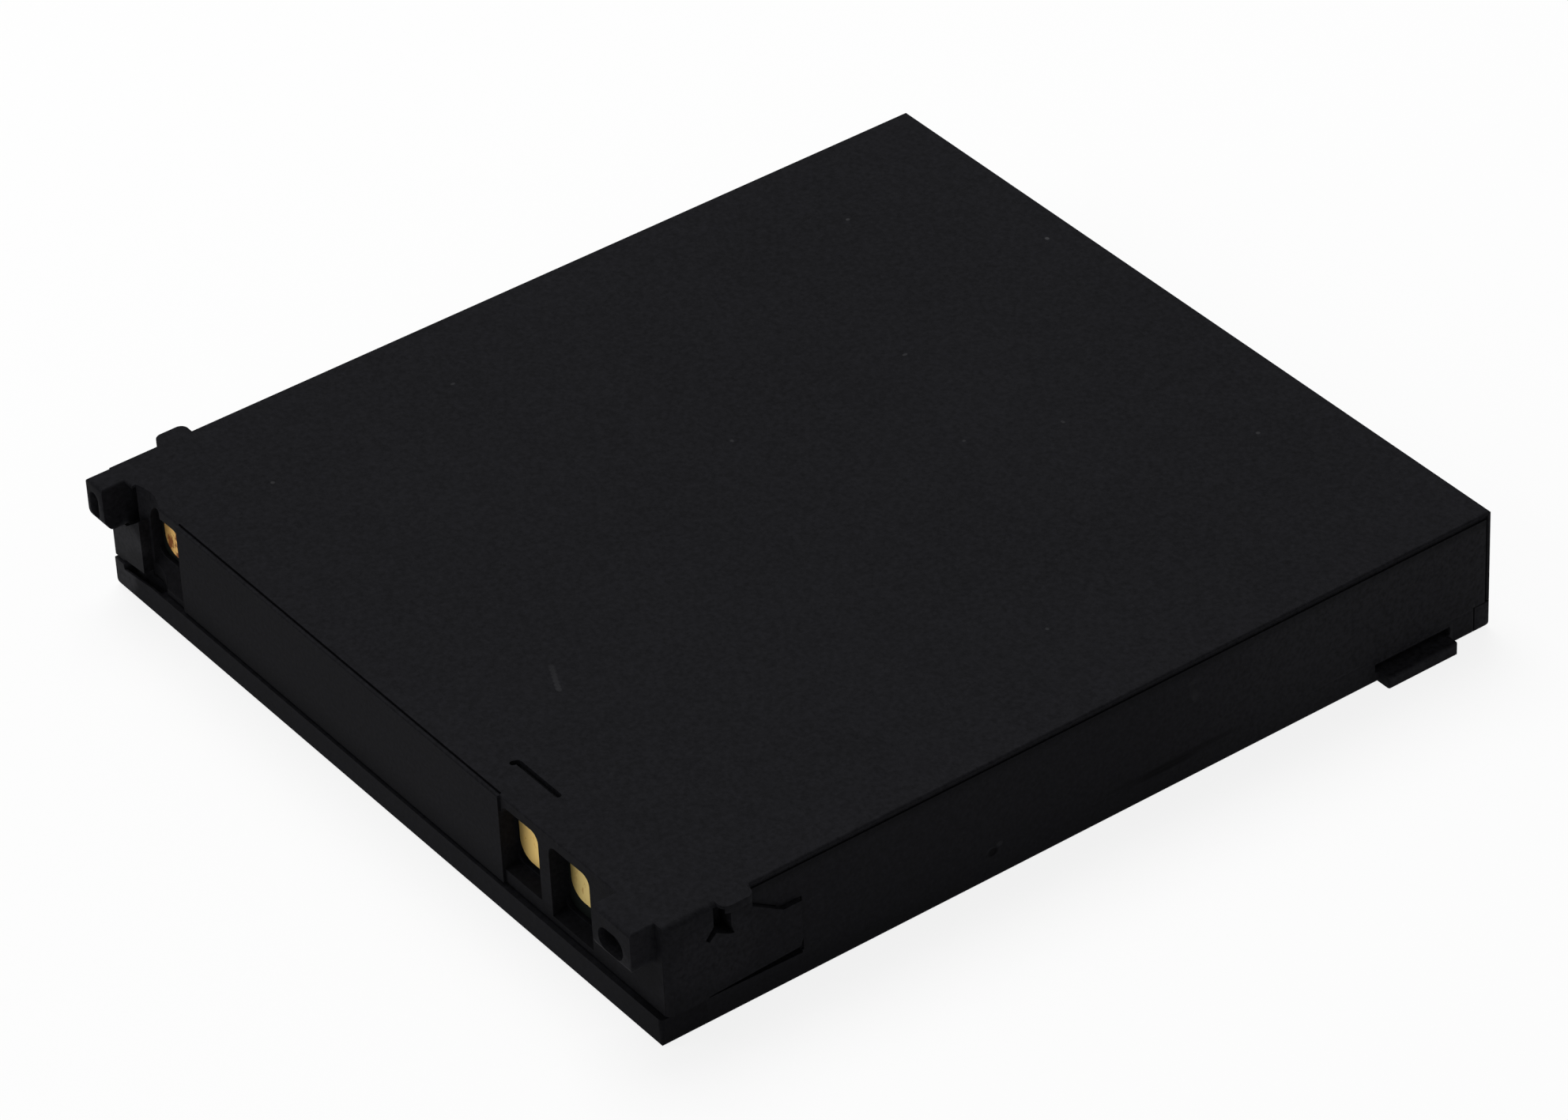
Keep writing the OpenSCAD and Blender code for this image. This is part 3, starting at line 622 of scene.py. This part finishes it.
FILM_DENTS = [
    ((38.1, 24.5, 1.12), (0.6, 2.4, 0.05), 2.2, 0.12),  # under the dark rub
    ((38.1, 36.6, 1.20), (0.6, 3.4, 0.04), 2.2, 0.2),  # above the latch tab
    ((38.1, 15.7, 1.38), (0.6, 0.14, 0.12), 2.0, 0.5),  # pit
    ((38.1, 40.2, 0.70), (0.6, 0.06, 0.5), 1.8, 0.8),  # upright line at the tail
]
matt_film = grained_plastic(
    "black_polyester_film_matt",
    colour="#101012",
    paler="#1d1d20",
    rough=0.72,
    depth=0.010,
    rubs_and_light=FILM_PAINTED_LIGHT,
    dusty=FILM_DUST,
    dents=FILM_DENTS,
    grimed_and_shaded=FILM_PAINTED_SHADE,
)
softened("wrap_film", "side_film", matt_film, 0.02)

# %% [markdown]
# The contacts are hard gold on nickel, plated onto the board's pads. Spring pins
# rub them at every change of the pack, which leaves fine scuffs and a duller,
# browner patch where the nickel starts to show through. A metal has no colour under
# its mirror: its base colour tints the reflection. So two golds, a noise between
# them and a roughness do the work.

# %% Recipe for rubbed gold
SCUFF = 0.5
PIN_SLIDE = (1.6, 1.6, 0.9)  # pins slide upright, so scuffs are longer along Z
WORN_FROM, WORN_FULL = 0.60, 0.70
WORN_ROUGHER = 0.18


def rubbed_gold(name, colour, worn, amount, rough):
    """Gold that turns to a worn gold, further the larger the amount."""
    made, tree = new_material(name)
    spot = add(tree, "ShaderNodeTexCoord").outputs["Object"]
    along = add(tree, "ShaderNodeMapping", Vector=spot, Scale=PIN_SLIDE)
    scuff = add(
        tree,
        "ShaderNodeTexNoise",
        Vector=along.outputs[0],
        Scale=per_metre(SCUFF),
        Detail=4.0,
        Roughness=0.65,
    ).outputs["Fac"]
    tired = add(
        tree,
        "ShaderNodeMapRange",
        Value=scuff,
        From_Min=WORN_FROM - amount,
        From_Max=WORN_FULL - amount,
    ).outputs[0]
    dull = add(
        tree,
        "ShaderNodeMapRange",
        Value=tired,
        To_Min=rough,
        To_Max=rough + WORN_ROUGHER,
    )
    relief = add(
        tree, "ShaderNodeBump", Strength=0.4, Distance=0.01 * MM, Height=scuff
    )
    shader = add(
        tree,
        "ShaderNodeBsdfPrincipled",
        Base_Color=tinted_towards(tree, linear(colour), tired, worn),
        Roughness=dull.outputs[0],
        Metallic=1.0,
        Normal=relief.outputs[0],
    )
    finish_material(tree, shader.outputs[0])
    return made


print("scuff scale:", per_metre(SCUFF))

# %% [markdown]
# The three contacts don't look alike. The right one is rubbed smooth, the middle
# one is duller, and the left one is worn brown in places, so each has its own
# numbers. They keep their CAD meshes and only get a new material.


# %% Three gold finishes
def dress(node, material):
    """Gives a CAD node that stays in view its finish."""
    slots = nodes[node].data.materials
    slots.clear()
    slots.append(material)


GOLDS = {
    # node: material, gold, worn gold, amount worn, roughness
    "contact_thermistor": ("hard_gold_dull", "#f0cf81", "#d9ad5a", 0.0, 0.46),
    "contact_positive": ("hard_gold_plated", "#c6ae69", "#a68245", 0.0, 0.34),
    "contact_negative": ("hard_gold_worn", "#f4c471", "#8c5224", 0.12, 0.34),
}
for contact, recipe in GOLDS.items():
    dress(contact, rubbed_gold(*recipe))
print("gold finishes:", [recipe[0] for recipe in GOLDS.values()])

# %% [markdown]
# The pieces inside can't be seen from outside, and a reader may still open the
# pack. Each gets the finish of its real material: drawn aluminium, rolled nickel,
# black solder mask, moulded epoxy, tan paper, cream tape and black foam. Two close
# colours and one noise are enough for them. Drawn and rolled metal has its noise
# stretched along the way that the metal was pulled.


# %% One recipe for the inner finishes
def inner_finish(
    name, colour, other, rough, size, metal=0.0, stretch=(1, 1, 1), gloss=0.5
):
    """Two close colours mixed by a noise of that size, mm, with a matching bump."""
    made, tree = new_material(name)
    spot = add(tree, "ShaderNodeTexCoord").outputs["Object"]
    along = add(tree, "ShaderNodeMapping", Vector=spot, Scale=stretch)
    grain = add(
        tree,
        "ShaderNodeTexNoise",
        Vector=along.outputs[0],
        Scale=per_metre(size),
        Detail=3.0,
    ).outputs["Fac"]
    dull = add(
        tree,
        "ShaderNodeMapRange",
        Value=grain,
        To_Min=rough - ROUGH_SPREAD,
        To_Max=rough + ROUGH_SPREAD,
    )
    relief = add(
        tree, "ShaderNodeBump", Strength=0.3, Distance=0.02 * MM, Height=grain
    )
    shader = add(
        tree,
        "ShaderNodeBsdfPrincipled",
        Base_Color=tinted_towards(tree, linear(colour), grain, other),
        Roughness=dull.outputs[0],
        Metallic=metal,
        Normal=relief.outputs[0],
        Specular_IOR_Level=gloss,
    )
    finish_material(tree, shader.outputs[0])
    return made


print("a grain of 0.3 mm has noise scale", round(per_metre(0.3)))

# %% [markdown]
# A table then gives each inner piece its numbers, which is shorter than a function
# for each finish, and it keeps the materials easy to compare.

# %% Finishes of the inner pieces
DRAWN = (4, 0.3, 4)  # long along Y
ROLLED = (0.3, 4, 4)  # long along X
EVEN = (1, 1, 1)
INNER = {
    # material, colour, other colour, roughness, grain in mm, metal, stretch, gloss
    # satin, with faint lines along the can from the drawing die
    ("aluminium_deep_drawn", "#c9cbce", "#aeb1b5", 0.42, 0.4, 1.0, DRAWN): (
        "cell_can",
        "cell_lid",
        "fill_plug",
    ),
    # warmer and a little brighter, with lines along the strip from the rolls
    ("nickel_strip_rolled", "#c4c0b8", "#a7a39b", 0.36, 0.3, 1.0, ROLLED): (
        "terminal_rivet",
        "strip_positive",
        "strip_terminal",
        "strip_cutout",
    ),
    # moulded without pigment, so it is milky and half dull
    ("polypropylene_natural", "#e4e1d8", "#d3cfc4", 0.5, 0.5): ("terminal_gasket",),
    # pressed fibre, dry and a little mottled
    ("fish_paper_tan", "#c9ae7c", "#b3965f", 0.85, 0.3): ("lid_insulator",),
    # rolled sheet with a soft, even sheen
    ("polyester_sheet_black", "#1f1f20", "#27272a", 0.6, 0.4): ("top_sheet",),
    # coated tissue that looks like dull paper
    ("adhesive_tape_cream", "#e2dbc3", "#cfc6a8", 0.7, 0.5): (
        "floor_tape",
        "cutout_tape",
    ),
    # open cells swallow the light, so it is the dullest black
    ("foam_fine_celled", "#2b2b2c", "#1c1c1d", 0.95, 0.25): ("tail_foam",),
    # printed lacquer, nearly black with a cast of green
    ("solder_mask_black", "#0f1211", "#151917", 0.6, 0.6, 0.0, EVEN, 0.05): (
        "protection_board",
    ),
    # moulded resin filled with glass powder, fine and dull
    ("epoxy_moulded_black", "#2a2a2d", "#1f1f21", 0.6, 0.15): (
        "protection_chip",
        "switch_chip",
    ),
    # fired, matt, with darker specks
    ("ceramic_fired_tan", "#8d7450", "#6f5a3c", 0.55, 0.2): (
        "sense_thermistor",
        "board_capacitors",
        "board_resistors",
    ),
    # dipped in resin, even and slightly glossy
    ("laminate_coated_green", "#3f5f3d", "#324d31", 0.5, 0.3): ("thermal_cutout",),
}
for recipe, members in INNER.items():
    finish = inner_finish(*recipe)
    for member in members:
        dress(member, finish)
print("inner finishes:", len(INNER))
